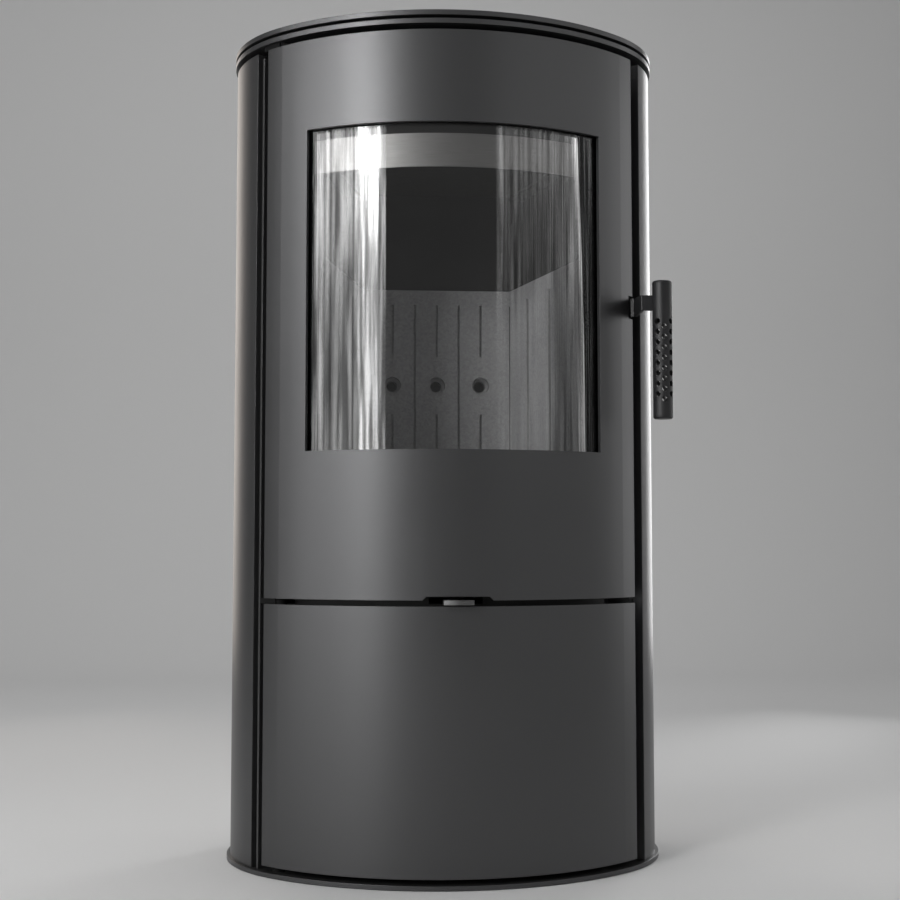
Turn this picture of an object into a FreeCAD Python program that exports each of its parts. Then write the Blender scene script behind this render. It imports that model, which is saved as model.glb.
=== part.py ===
import FreeCAD, Part
import math
import os

# Steel wood stove, millimetres: +X right, +Y to the back, +Z up, origin on the floor under its middle.

# Plan outline of the top plates: a shallow front arc, two side arcs and a flat back
half_width = 250.0
side_radius = 169.4
front_bulge = 30.6

# Stack of levels from the floor up
base_thickness = 5.0
base_overhang = 2.0
door_foot_gap = 5.6
lower_door_height = 283.7
door_seam = 6.2
fire_door_height = 617.3
door_head_gap = 6.0
top_thickness = 5.4
top_gap = 3.9

# Clearances that all fits share
running_fit = 0.05
seat_clearance = 0.3
bolt_clearance = 0.3
overrun = 5.0

# Doors and their hinge line
skin_inset = 2.2
door_skin = 4.0
door_side_margin = 42.3
hinge_setback = 17.0
hinge_depth = 10.5
hinge_pin_radius = 4.0
hinge_eye_radius = 7.0
hinge_lug_height = 9.0
hinge_pin_end = 2.0
hinge_plate_depth = 34.0
seam_notch_half_width = 38.0
seam_notch_height = 4.1
stiffener_depth = 8.0
stiffener_height = 4.0
stiffener_margin = 18.0
stiffener_hinge_gap = 10.7

# Window of the fire door
window_side_margin = 87.0
window_sill = 160.6
window_height = 355.2
glass_thickness = 4.0
glass_lap = 10.0
gasket_thickness = 2.0
gasket_margin = 1.2
gasket_width = 6.0
clip_half_width = 14.0
clip_plate = 2.0
clip_lap = 8.0
clip_foot = 12.0
clip_side_gap = 0.5
clip_place_share = 0.55
stud_radius = 2.0
nut_radius = 4.0
nut_height = 3.0

# Inner frame of the fire door and its rope seal
ring_glass_gap = 8.0
ring_width = 15.0
ring_depth = 10.0
ring_bottom_margin = 6.0
ring_bar_height = 14.0
groove_depth = 3.0
rope_side_share = 0.25

# Posts and casing
post_sheet = 3.0
post_gap = 9.3
post_step = 1.8
post_depth = 40.0
post_inner_leg = 33.5
post_shelf = 22.5
post_drop = 6.8
panel_sheet = 2.0
panel_gap = 20.0
panel_flange = 12.0
panel_rear_angle = 150.0
rear_lap_angle = 143.0
panel_screw_radius = 2.0
panel_screw_head_radius = 5.0
panel_screw_head = 2.5
panel_screw_length = 6.0
panel_screw_margin = 40.0
panel_screw_rows = 4
vent_slot_width = 8.0
vent_slot_height = 60.0
vent_slot_pitch = 24.0
vent_slot_margin = 60.0

# Firebox: flared in plan, lined with vermiculite
back_space = 56.4
lining_side_space = 156.2
flare_angle = 12.55
lining_thickness = 25.0
lining_gap = 1.0
lining_corner_joint = 3.0
lining_height = 283.0
shell_wall = 4.0
frame_inset = 24.8
frame_plate = 4.0
frame_side_margin = 72.0
fire_opening_margin = 108.0
fire_sill = 5.0
fire_opening_height = 366.0
ash_opening_margin = 115.0
ash_opening_sill = 6.3
ash_opening_height = 75.0
deflector_inset = 20.8
deflector_sheet = 2.0
deflector_height = 37.0
deflector_lap = 13.0
crown_plate = 4.0
spacer_height = 14.8
fire_floor_rise = 93.3
fire_floor_plate = 4.0

# Air inlets and slits of the rear lining
air_hole_radius = 10.75
air_hole_neck_radius = 7.0
air_hole_step = 14.0
air_hole_place_share = 0.6
air_hole_height = 161.0
slit_width = 3.0
slit_depth = 5.0
slit_top_margin = 19.0
slit_hole_clearance = 37.0
side_slit_first = 65.0
side_slit_pitch = 73.0
side_slit_width = 7.0

# Bricks, grate and baffle
brick_thickness = 25.0
brick_joint = 1.0
grate_side_brick = 25.8
grate_back_gap = 75.0
grate_length = 96.0
grate_thickness = 16.0
grate_ledge = 8.0
grate_slot_width = 8.0
grate_slot_pitch = 16.0
grate_rim = 10.0
baffle_thickness = 25.0
baffle_setback = 140.0
baffle_rise = 128.0
baffle_rail_width = 18.0
baffle_rail_plate = 4.0

# Air box, valve and lever
air_box_height = 21.7
air_sheet = 2.0
lever_rise = 1.9
lever_plate = 5.0
lever_half_width = 16.0
lever_proud = 9.0
lever_tab_depth = 18.0
lever_neck_half_width = 8.0
lever_length = 114.0
lever_hole_radius = 2.0
lever_hole_margin = 6.0
lever_hole_setback = 4.5
lever_travel = 16.0
valve_plate = 2.2
valve_half_width = 60.0
valve_depth = 44.0
port_width = 14.0
port_depth = 30.0
port_count = 3
port_pitch = 36.0
rail_depth = 12.0
ash_floor_plate = 3.0
runner_height = 8.0
runner_width = 10.0
runner_inset = 15.0
duct_depth = 16.0
duct_margin = 16.0
duct_slot_width = 30.0
duct_slot_height = 8.0

# Ash pan
pan_side_gap = 10.0
pan_setback = 82.0
pan_back_gap = 41.0
pan_height = 57.0
pan_sheet = 1.5
pan_pull_half_width = 30.0
pan_pull_length = 30.0
pan_pull_drop = 12.0

# Flue outlet and the bolts of the top plates
flue_bore_radius = 75.3
flue_wall = 4.7
flue_back_gap = 98.0
flue_rise = 21.5
flue_stop = 5.0
flue_flange_radius = 92.0
flue_flange = 4.0
flue_plate_gap = 4.0
flue_screw_radius = 2.5
flue_screw_head_radius = 4.5
flue_screw_head = 3.0
flue_screw_count = 4
bolt_radius = 3.0
bolt_head_radius = 5.0
bolt_head = 4.0
bolt_grip = 3.4
spacer_radius = 8.0
washer_radius = 10.0
bolt_front_margin = 120.0
bolt_front_setback = 130.0
bolt_rear_outset = 6.2
bolt_rear_margin = 21.0

# Handle, latch and magnet catch
grip_radius = 11.0
grip_wall = 3.0
grip_length = 154.5
grip_rise = 198.0
grip_outreach = 44.0
grip_forward = 36.7
grip_cap_height = 2.5
grip_hole_radius = 3.2
grip_hole_pitch = 11.6
grip_hole_rows = 8
grip_hole_columns = 4
grip_hole_drop = 46.0
arm_plate = 4.0
arm_root_height = 21.0
arm_root_rise = 317.9
arm_tip_height = 16.9
arm_tip_drop = 2.8
arm_inner_setback = 4.4
arm_inner_inset = 14.0
arm_outer_setback = 0.9
arm_outer_proud = 2.0
latch_notch_depth = 8.5
latch_notch_margin = 2.5
latch_ear_height = 6.0
latch_cam_height = 7.0
latch_cam_reach = 14.0
latch_cam_half_width = 4.0
latch_cam_side_gap = 1.0
magnet_width = 14.0
magnet_depth = 18.0
magnet_height = 40.0
magnet_rise = 135.0
magnet_gap = 0.5

# Places worked out from the sizes above
side_centre_x = half_width - side_radius
front_reach = side_radius + front_bulge
front_radius = (side_centre_x ** 2 + front_reach ** 2 - side_radius ** 2) / (2 * front_bulge)
front_centre_y = front_radius - front_reach
join_angle = math.degrees(math.atan2(side_centre_x, front_centre_y))
skin_radius = side_radius - skin_inset


def angle_at(x, inset):
    """Turn of the outline's normal from the front, where the curve at this inset reaches x."""
    front_turn = math.degrees(math.asin(min(1.0, x / (front_radius - inset))))
    if front_turn <= join_angle:
        return front_turn
    return math.degrees(math.asin((x - side_centre_x) / (side_radius - inset)))


def turn_along(length):
    """Turn of the normal over this length of the side arcs' skin."""
    return math.degrees(length / skin_radius)


door_edge_angle = angle_at(half_width - door_side_margin, skin_inset)
lining_back = side_radius - back_space
lining_half_width = half_width - lining_side_space
lower_door_low = base_thickness + door_foot_gap
lower_door_high = lower_door_low + lower_door_height
fire_door_low = lower_door_high + door_seam
fire_door_high = fire_door_low + fire_door_height
under_top_low = fire_door_high + door_head_gap
under_top_high = under_top_low + top_thickness
top_low = under_top_high + top_gap
top_high = top_low + top_thickness
crown_high = under_top_low - spacer_height
crown_low = crown_high - crown_plate
lever_low = lower_door_high + lever_rise
lever_high = lever_low + lever_plate
ash_floor_low = lever_high + valve_plate + seat_clearance
ash_floor_high = ash_floor_low + ash_floor_plate
air_box_low = ash_floor_low - air_box_height
fire_floor_high = ash_floor_high + fire_floor_rise
fire_floor_low = fire_floor_high - fire_floor_plate
lining_high = fire_floor_high + lining_height
baffle_low = lining_high + baffle_rise
brick_high = fire_floor_high + brick_thickness
shell_inner = lining_thickness + lining_gap
shell_outer = shell_inner + shell_wall
shell_back = lining_back + shell_outer
frame_back = frame_inset + frame_plate
skin_back = skin_inset + door_skin
window_low = fire_door_low + window_sill
window_high = window_low + window_height
window_angle = angle_at(half_width - window_side_margin, skin_inset)
glass_angle = window_angle + math.degrees(glass_lap / front_radius)
ring_inner_angle = glass_angle + math.degrees(ring_glass_gap / front_radius)
ring_outer_angle = ring_inner_angle + math.degrees(ring_width / front_radius)
clip_angle = glass_angle * clip_place_share
glass_low = window_low - glass_lap
glass_high = window_high + glass_lap
glass_front = skin_back + gasket_thickness
glass_back = glass_front + glass_thickness
hinge_angle = door_edge_angle - turn_along(hinge_setback)
hinge_inset = skin_inset + hinge_depth
post_angle = door_edge_angle + turn_along(post_gap)
post_inset = skin_inset + post_step
post_high = fire_door_high - post_drop
panel_front_angle = door_edge_angle + turn_along(panel_gap)
shelf_inset = skin_inset + panel_flange
shelf_end_angle = post_angle + turn_along(post_shelf)
air_hole_z = fire_floor_high + air_hole_height
air_hole_spread = lining_half_width * air_hole_place_share
slit_pitch = air_hole_spread / 2
frame_half_opening = half_width - fire_opening_margin
ash_half_opening = half_width - ash_opening_margin
frame_edge_angle = angle_at(half_width - frame_side_margin, frame_inset)
deflector_edge_angle = angle_at(frame_half_opening + deflector_lap, deflector_inset)
stiffener_angle = hinge_angle - turn_along(stiffener_hinge_gap)
vent_slot_count = int(2 * side_centre_x / vent_slot_pitch)
grate_half_width = lining_half_width - grate_side_brick
grate_slot_count = int(2 * (grate_half_width - grate_rim) / grate_slot_pitch)
grate_back = lining_back - grate_back_gap
grate_front = grate_back - grate_length
baffle_front = baffle_setback - front_reach
lever_front = front_reach + lever_proud
lever_rear = lever_length - lever_front
pan_half_width = ash_half_opening - pan_side_gap
pan_front = pan_setback - front_reach
pan_back = lining_back - pan_back_gap
flue_y = shell_back - flue_back_gap
bolt_front_x = half_width - bolt_front_margin
bolt_front_y = bolt_front_setback - front_reach
bolt_rear_x = lining_half_width + bolt_rear_outset
bolt_rear_y = shell_back - bolt_rear_margin
arm_inner_angle = door_edge_angle - turn_along(arm_inner_setback)
arm_outer_angle = door_edge_angle - turn_along(arm_outer_setback)
arm_low = fire_door_low + arm_root_rise
arm_high = arm_low + arm_root_height
grip_low = fire_door_low + grip_rise
grip_high = grip_low + grip_length
up = FreeCAD.Vector(0, 0, 1)


def point(x, y, z=0.0):
    return FreeCAD.Vector(x, y, z)


def plan_point(angle, inset, z=0.0):
    """Point at this inset from the outline, where its outward normal is turned this far from the front."""
    turn = math.radians(angle)
    if abs(angle) <= join_angle:
        centre_x, centre_y, radius = 0.0, front_centre_y, front_radius
    else:
        centre_x, centre_y, radius = math.copysign(side_centre_x, angle), 0.0, side_radius
    reach = radius - inset
    return point(centre_x + reach * math.sin(turn), centre_y - reach * math.cos(turn), z)


def outline_edges(inset, start, stop, z):
    """Tangent arcs of the outline between two angles, split where the front meets a side."""
    joins = [angle for angle in (-join_angle, join_angle) if min(start, stop) < angle < max(start, stop)]
    stations = [start] + sorted(joins, reverse=stop < start) + [stop]
    edges = []
    for first, last in zip(stations, stations[1:]):
        middle = (first + last) / 2
        ends = [plan_point(angle, inset, z) for angle in (first, middle, last)]
        edges.append(Part.Arc(*ends).toShape())
    return edges


def prism(edges, height):
    wire = Part.Wire(Part.__sortEdges__(edges))
    return Part.Face(wire).extrude(up * height)


def curved_plate(outer, inner, start, stop, low, high):
    """Plate that follows the outline between two insets, two angles and two levels."""
    edges = outline_edges(outer, start, stop, low) + outline_edges(inner, stop, start, low)
    for angle in (start, stop):
        edges.append(Part.makeLine(plan_point(angle, outer, low), plan_point(angle, inner, low)))
    return prism(edges, high - low)


def curved_ring(outer, inner, wide, narrow, low, high, bottom, top):
    """Curved rectangular ring: wide to narrow in angle, with bars of the heights bottom and top."""
    whole = curved_plate(outer, inner, -wide, wide, low, high)
    opening = curved_plate(outer - overrun, inner + overrun, -narrow, narrow, low + bottom, high - top)
    return whole.cut(opening)


def plan_slab(inset, low, high):
    edges = outline_edges(inset, -180.0, 180.0, low)
    edges.append(Part.makeLine(plan_point(180.0, inset, low), plan_point(-180.0, inset, low)))
    return prism(edges, high - low)


def slab(corners, low, high):
    ring = [point(x, y, low) for x, y in corners]
    return Part.Face(Part.makePolygon(ring + ring[:1])).extrude(up * (high - low))


def block(left, right, front, back, low, high):
    return Part.makeBox(right - left, back - front, high - low, point(left, front, low))


def disc(x, y, radius, low, high):
    return Part.makeCylinder(radius, high - low, point(x, y, low))


def tube(x, y, outer, inner, low, high):
    return disc(x, y, outer, low, high).cut(disc(x, y, inner, low - overrun, high + overrun))


def turned_to(angle, shape):
    """Moves a shape drawn at the origin to the outline: its X runs along it and its Y inwards."""
    shape.rotate(point(0, 0), up, angle)
    shape.translate(plan_point(angle, 0.0))
    return shape


def local_box(angle, along_from, along_to, inset_from, inset_to, low, high):
    return turned_to(angle, block(along_from, along_to, inset_from, inset_to, low, high))


def local_rod(angle, radius, inset_from, inset_to, z):
    rod = Part.makeCylinder(radius, inset_to - inset_from, point(0, inset_from, z), point(0, 1, 0))
    return turned_to(angle, rod)


def mirrored(shape):
    return shape.mirror(point(0, 0), point(1, 0))


def joined(first, *others):
    return first.fuse(list(others)).removeSplitter()


def group(shapes):
    return Part.makeCompound(list(shapes))


def front_cope(inset, low, high):
    """Everything behind the curved front at this inset."""
    front = plan_slab(inset, low - overrun, high + overrun)
    return front.fuse(block(-half_width, half_width, 0.0, half_width, low - overrun, high + overrun))


def flare_half_width(y, offset):
    """Half width of the firebox at depth y, this far outside the faces of its side linings."""
    flare = math.radians(flare_angle)
    return lining_half_width + (lining_back - y) * math.tan(flare) + offset / math.cos(flare)


def flared_block(offset, back, front, low, high):
    """Block with the firebox's flared sides, this far outside the lining faces."""
    rear_x = flare_half_width(back, offset)
    front_x = flare_half_width(front, offset)
    return slab([(-front_x, front), (front_x, front), (rear_x, back), (-rear_x, back)], low, high)


def flared_walls(outer, wall, low, high, inset):
    """Two side walls and a back wall with the firebox's flare, coped to the curved front."""
    solid = flared_block(outer, lining_back + outer, -front_reach, low, high)
    space = flared_block(outer - wall, lining_back + outer - wall, -front_reach - overrun, low - overrun,
                         high + overrun)
    return solid.cut(space).common(front_cope(inset, low, high))


def flared_plate(offset, low, high, inset):
    """Flat plate with the firebox's flare, coped to the curved front."""
    plate = flared_block(offset, lining_back + offset, -front_reach, low, high)
    return plate.common(front_cope(inset, low, high))


os.makedirs("parts", exist_ok=True)


def save(node, shape):
    shape.exportStep("parts/" + node + ".step")


# Hinge line on the left and the handle pivot at the same place on the right
hinge = plan_point(-hinge_angle, hinge_inset)
pivot = plan_point(hinge_angle, hinge_inset)
pin_bore = hinge_pin_radius + running_fit
grip_x = pivot.x + grip_outreach
grip_y = pivot.y - grip_forward


def lug(low, high):
    """Welded eye on the inner face of a door skin, on the hinge line."""
    root = local_box(-hinge_angle, -hinge_eye_radius, hinge_eye_radius, 0.0, hinge_inset, low, high)
    eye = disc(hinge.x, hinge.y, hinge_eye_radius, low, high)
    inside = plan_slab(skin_back, low - overrun, high + overrun)
    bore = disc(hinge.x, hinge.y, pin_bore, low - overrun, high + overrun)
    return joined(root, eye).common(inside).cut(bore)


def hinge_plate(low, high):
    """Fixed plate with the pin's hole, reaching from the hinge line to the web of the left post."""
    reach = curved_plate(post_inset, hinge_plate_depth, -post_angle, -hinge_angle, low, high)
    eye = disc(hinge.x, hinge.y, hinge_eye_radius, low, high)
    bore = disc(hinge.x, hinge.y, pin_bore, low - overrun, high + overrun)
    firebox = flared_block(shell_outer, shell_back, -front_reach, low - overrun, high + overrun)
    return joined(reach, eye).cut([bore, firebox])


# Base plate, with the socket of the lower hinge pin
base_plate = plan_slab(-base_overhang, 0.0, base_thickness)
save("base_plate", base_plate.cut(disc(hinge.x, hinge.y, pin_bore, -overrun, base_thickness + overrun)))

# Folded posts between the doors and the side panels; on the latch side the web is set back to the shelf
post_back = post_inset + post_depth
hinge_side_web = local_box(post_angle, 0.0, post_sheet, post_inset, post_back, base_thickness, post_high)
latch_side_web = local_box(post_angle, 0.0, post_sheet, shelf_inset, post_back, base_thickness, post_high)
post_leg = local_box(post_angle, -post_inner_leg, post_sheet, post_back - post_sheet, post_back,
                     base_thickness, post_high)
post_leg = post_leg.cut(flared_block(shell_outer, shell_back, -front_reach, 0.0, top_high))
post_shelf_plate = curved_plate(shelf_inset, shelf_inset + post_sheet, post_angle, shelf_end_angle,
                                base_thickness, post_high)
save("right_post", joined(latch_side_web, post_leg, post_shelf_plate))
save("left_post", mirrored(joined(hinge_side_web, post_leg, post_shelf_plate)))

# Side panels, folded in along the front edge and lapped over the rear panel
screw_angle = (rear_lap_angle + panel_rear_angle) / 2
screw_span = fire_door_high - base_thickness - 2 * panel_screw_margin
screw_step = screw_span / (panel_screw_rows - 1)
screw_levels = [base_thickness + panel_screw_margin + row * screw_step for row in range(panel_screw_rows)]
screw_holes = [local_rod(screw_angle, panel_screw_radius + running_fit, -overrun, skin_back + overrun, z)
               for z in screw_levels]
panel_back = skin_inset + panel_sheet
panel_skin = curved_plate(skin_inset, panel_back, panel_front_angle, panel_rear_angle, base_thickness,
                          fire_door_high)
panel_fold = local_box(panel_front_angle, 0.0, panel_sheet, skin_inset, shelf_inset - running_fit,
                       base_thickness, fire_door_high)
side_panel = joined(panel_skin, panel_fold).cut(screw_holes)
save("right_side_panel", side_panel)
save("left_side_panel", mirrored(side_panel))

# Rear panel with its convection slots, and its screws
rear_back = panel_back + panel_sheet
rear_flat = block(-side_centre_x, side_centre_x, side_radius - rear_back, side_radius - panel_back,
                  base_thickness, fire_door_high)
rear_wing = curved_plate(panel_back, rear_back, rear_lap_angle, 180.0, base_thickness, fire_door_high)
rear_panel = joined(rear_flat, rear_wing, mirrored(rear_wing))
slot_lows = [base_thickness + vent_slot_margin, fire_door_high - vent_slot_margin - vent_slot_height]
for slot_low in slot_lows:
    for column in range(vent_slot_count):
        slot_x = (column - (vent_slot_count - 1) / 2) * vent_slot_pitch
        slot = block(slot_x - vent_slot_width / 2, slot_x + vent_slot_width / 2, lining_back, half_width,
                     slot_low, slot_low + vent_slot_height)
        rear_panel = rear_panel.cut(slot)
rear_panel = rear_panel.cut(screw_holes + [mirrored(hole) for hole in screw_holes])
save("rear_panel", rear_panel)
screws = []
for z in screw_levels:
    shank = local_rod(screw_angle, panel_screw_radius, skin_inset, skin_inset + panel_screw_length, z)
    head = local_rod(screw_angle, panel_screw_head_radius, skin_inset - panel_screw_head, skin_inset, z)
    screws.append(joined(head, shank))
save("rear_panel_screws", group(screws + [mirrored(screw) for screw in screws]))

# Log store liner: a U of sheet under the air box
save("store_liner", flared_walls(shell_outer, air_sheet, base_thickness, air_box_low, frame_back))

# Air box: a tray with a slot for the lever in front, a rest rail and slots into the rear duct
box_walls = flared_walls(shell_outer, air_sheet, air_box_low, ash_floor_low, frame_back)
box_floor = flared_plate(shell_outer, air_box_low, air_box_low + air_sheet, frame_back)
box_front = flared_plate(shell_outer, air_box_low, ash_floor_low, frame_back)
box_front = box_front.cut(front_cope(frame_back + air_sheet, air_box_low, ash_floor_low))
lever_slot = block(-lever_neck_half_width - lever_travel - lever_plate,
                   lever_neck_half_width + lever_travel + lever_plate,
                   -front_reach, 0.0, lever_low - seat_clearance, ash_floor_low + overrun)
box_front = box_front.cut(lever_slot)
rest_rail = block(-valve_half_width, valve_half_width, lever_rear - rail_depth, lever_rear,
                  air_box_low + air_sheet, lever_low - seat_clearance)
air_box = joined(box_walls, box_floor, box_front, rest_rail)
duct_slots = []
for side in (-1, 0, 1):
    slot_x = side * air_hole_spread
    duct_slots.append(block(slot_x - duct_slot_width / 2, slot_x + duct_slot_width / 2, lining_back,
                            shell_back + overrun, ash_floor_low - air_sheet - duct_slot_height,
                            ash_floor_low - air_sheet))
save("air_box", air_box.cut(duct_slots))

# Ash floor: the lid of the air box, with valve ports and the runners of the ash pan
valve_front = lever_rear - valve_depth
port_x = [(index - (port_count - 1) / 2) * port_pitch for index in range(port_count)]
port_front = valve_front + (valve_depth - port_depth) / 2


def ports(low, high):
    return [block(x - port_width / 2, x + port_width / 2, port_front, port_front + port_depth, low - overrun,
                  high + overrun) for x in port_x]


ash_floor = flared_plate(shell_outer, ash_floor_low, ash_floor_high, frame_back)
ash_floor = ash_floor.cut(ports(ash_floor_low, ash_floor_high))
runner_right = pan_half_width - runner_inset
runner = block(runner_right - runner_width, runner_right, pan_front, pan_back, ash_floor_high,
               ash_floor_high + runner_height)
save("ash_floor", joined(ash_floor, runner, mirrored(runner)))

# Air lever in the seam and the valve plate that it carries
tab_edge = disc(0.0, front_centre_y, front_centre_y + lever_front, lever_low, lever_high)
lever_tab = block(-lever_half_width, lever_half_width, -lever_front - overrun, -lever_front + lever_tab_depth,
                  lever_low, lever_high)
lever_neck = block(-lever_neck_half_width, lever_neck_half_width, -lever_front + lever_tab_depth, lever_rear,
                   lever_low, lever_high)
tab_hole = disc(-lever_half_width + lever_hole_margin, -lever_front + lever_hole_setback, lever_hole_radius,
                lever_low - overrun, lever_high + overrun)
save("air_lever", joined(lever_tab.common(tab_edge), lever_neck).cut(tab_hole))
valve_high = lever_high + valve_plate
valve = block(-valve_half_width, valve_half_width, valve_front, lever_rear, lever_high, valve_high)
save("air_valve_plate", valve.cut(ports(lever_high, valve_high)))

# Firebox shell of welded plate, with the rear air inlets, its floor and its crown
air_hole_x = (-air_hole_spread, 0.0, air_hole_spread)


def air_holes(radius, front, back):
    return [Part.makeCylinder(radius, back - front, point(x, front, air_hole_z), point(0, 1, 0))
            for x in air_hole_x]


shell = flared_walls(shell_outer, shell_wall, ash_floor_high, crown_low, frame_back)
save("firebox_shell", shell.cut(air_holes(air_hole_radius, lining_back, shell_back + overrun)))
floor_hole = block(-grate_half_width + grate_ledge, grate_half_width - grate_ledge, grate_front + grate_ledge,
                   grate_back - grate_ledge, fire_floor_low - overrun, fire_floor_high + overrun)
fire_floor = flared_plate(shell_inner, fire_floor_low, fire_floor_high, frame_back)
save("firebox_floor", fire_floor.cut(floor_hole))
bolt_places = [(bolt_front_x, bolt_front_y), (-bolt_front_x, bolt_front_y), (bolt_rear_x, bolt_rear_y),
               (-bolt_rear_x, bolt_rear_y)]


def bolt_holes(low, high):
    return [disc(x, y, bolt_radius + bolt_clearance, low, high) for x, y in bolt_places]


flue_ring_radius = (flue_bore_radius + flue_wall + flue_flange_radius) / 2
flue_screw_step = 2 * math.pi / flue_screw_count
flue_screw_turns = [(index + 1 / 2) * flue_screw_step for index in range(flue_screw_count)]
flue_screw_places = [(flue_ring_radius * math.cos(turn), flue_y + flue_ring_radius * math.sin(turn))
                     for turn in flue_screw_turns]


def flue_screw_holes(low, high):
    return [disc(x, y, flue_screw_radius + running_fit, low, high) for x, y in flue_screw_places]


crown = flared_plate(shell_outer, crown_low, crown_high, frame_inset)
crown = crown.cut(disc(0.0, flue_y, flue_bore_radius - flue_stop, crown_low - overrun, crown_high + overrun))
crown = crown.cut(bolt_holes(crown_low - overrun, crown_high + overrun))
save("firebox_top", crown.cut(flue_screw_holes(crown_low - overrun, crown_high + overrun)))

# Curved front frame with the fire opening and the ash opening, and the air wash deflector on it
fire_low = fire_floor_high + fire_sill
fire_high = fire_low + fire_opening_height
ash_low = ash_floor_high + ash_opening_sill
ash_high = ash_low + ash_opening_height
front_frame = curved_plate(frame_inset, frame_back, -frame_edge_angle, frame_edge_angle, ash_floor_low,
                           crown_low)
fire_opening = block(-frame_half_opening, frame_half_opening, -front_reach, 0.0, fire_low, fire_high)
ash_opening = block(-ash_half_opening, ash_half_opening, -front_reach, 0.0, ash_low, ash_high)
save("front_frame", front_frame.cut([fire_opening, ash_opening]))
deflector_back = deflector_inset + deflector_sheet
deflector_high = fire_high + deflector_height
deflector_face = curved_plate(deflector_inset, deflector_back, -deflector_edge_angle, deflector_edge_angle,
                              fire_high, deflector_high)
deflector_flange = curved_plate(deflector_back, frame_inset, -deflector_edge_angle, deflector_edge_angle,
                                deflector_high - deflector_sheet, deflector_high)
save("air_wash_deflector", joined(deflector_face, deflector_flange))

# Rear air duct: a folded channel on the back of the firebox, fed by the air box
duct_half_width = air_hole_spread + duct_margin
duct_low = air_box_low + air_sheet
duct_high = air_hole_z + air_hole_radius + duct_margin
duct_back = shell_back + duct_depth
duct = block(-duct_half_width, duct_half_width, shell_back, duct_back, duct_low, duct_high)
duct_space = block(-duct_half_width + air_sheet, duct_half_width - air_sheet, shell_back - overrun,
                   duct_back - air_sheet, duct_low + air_sheet, duct_high - air_sheet)
save("rear_air_duct", duct.cut(duct_space))

# Vermiculite linings with their slits; the rear one has stepped air inlets
lining_outer = lining_back + lining_thickness
rear_lining = flared_block(lining_thickness, lining_outer, lining_back, fire_floor_high, lining_high)
rear_lining = rear_lining.cut(air_holes(air_hole_neck_radius, lining_back - overrun, shell_back))
rear_lining = rear_lining.cut(air_holes(air_hole_radius, lining_back - overrun, lining_back + air_hole_step))
slit_high = lining_high - slit_top_margin
slits = []
for index in (-2, -1, 0, 1, 2):
    slit_x = index * slit_pitch
    spans = [(fire_floor_high, slit_high)]
    if index % 2 == 0:
        spans = [(fire_floor_high, air_hole_z - slit_hole_clearance),
                 (air_hole_z + slit_hole_clearance, slit_high)]
    for low, high in spans:
        slits.append(block(slit_x - slit_width / 2, slit_x + slit_width / 2, lining_back - overrun,
                           lining_back + slit_depth, low, high))
save("rear_lining", rear_lining.cut(slits))
side_lining_back = lining_back - lining_corner_joint
side_lining = flared_block(lining_thickness, side_lining_back, -front_reach, fire_floor_high, lining_high)
side_lining = side_lining.cut(flared_block(0.0, lining_back, -front_reach - overrun, fire_floor_high - overrun,
                                           lining_high + overrun))
side_lining = side_lining.common(front_cope(frame_back + lining_gap, fire_floor_high, lining_high))
right_half = block(0.0, half_width, -front_reach, half_width, fire_floor_high, lining_high)
side_lining = side_lining.common(right_half)
for index in range(2):
    slit_y = lining_back - side_slit_first - index * side_slit_pitch
    slit_x = flare_half_width(slit_y, 0.0)
    slit = block(slit_x - overrun, slit_x + slit_depth, slit_y - side_slit_width / 2,
                 slit_y + side_slit_width / 2, fire_floor_high, slit_high)
    side_lining = side_lining.cut(slit)
save("right_lining", side_lining)
save("left_lining", mirrored(side_lining))

# Floor bricks round the cast grate, and the baffle brick on two rails welded to the shell
hearth = flared_block(-brick_joint, lining_back - brick_joint, -front_reach, fire_floor_high, brick_high)
hearth = hearth.common(front_cope(frame_back + lining_gap, fire_floor_high, brick_high))
cell_half_width = grate_half_width + brick_joint
cell_front = grate_front - brick_joint
cell_back = grate_back + brick_joint
front_zone = block(-half_width, half_width, -front_reach, cell_front, fire_floor_high, brick_high)
rear_zone = block(-half_width, half_width, cell_back, half_width, fire_floor_high, brick_high)
side_zone = block(cell_half_width, half_width, grate_front, grate_back, fire_floor_high, brick_high)
save("front_floor_brick", hearth.common(front_zone))
save("rear_floor_brick", hearth.common(rear_zone))
side_brick = hearth.common(side_zone)
save("side_floor_bricks", group([side_brick, mirrored(side_brick)]))
grate_high = fire_floor_high + grate_thickness
grate = block(-grate_half_width, grate_half_width, grate_front, grate_back, fire_floor_high, grate_high)
for index in range(grate_slot_count):
    slot_x = (index - (grate_slot_count - 1) / 2) * grate_slot_pitch
    slot = block(slot_x - grate_slot_width / 2, slot_x + grate_slot_width / 2, grate_front + grate_rim,
                 grate_back - grate_rim, fire_floor_high - overrun, grate_high + overrun)
    grate = grate.cut(slot)
save("grate", grate)
rail_low = baffle_low - baffle_rail_plate
rails = flared_block(shell_inner, lining_outer, baffle_front, rail_low, baffle_low)
rail_space = flared_block(shell_inner - baffle_rail_width, lining_outer + overrun, baffle_front - overrun,
                          rail_low - overrun, baffle_low + overrun)
save("baffle_rails", rails.cut(rail_space))
save("baffle_brick", flared_block(lining_thickness, lining_outer, baffle_front, baffle_low,
                                  baffle_low + baffle_thickness))

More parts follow.
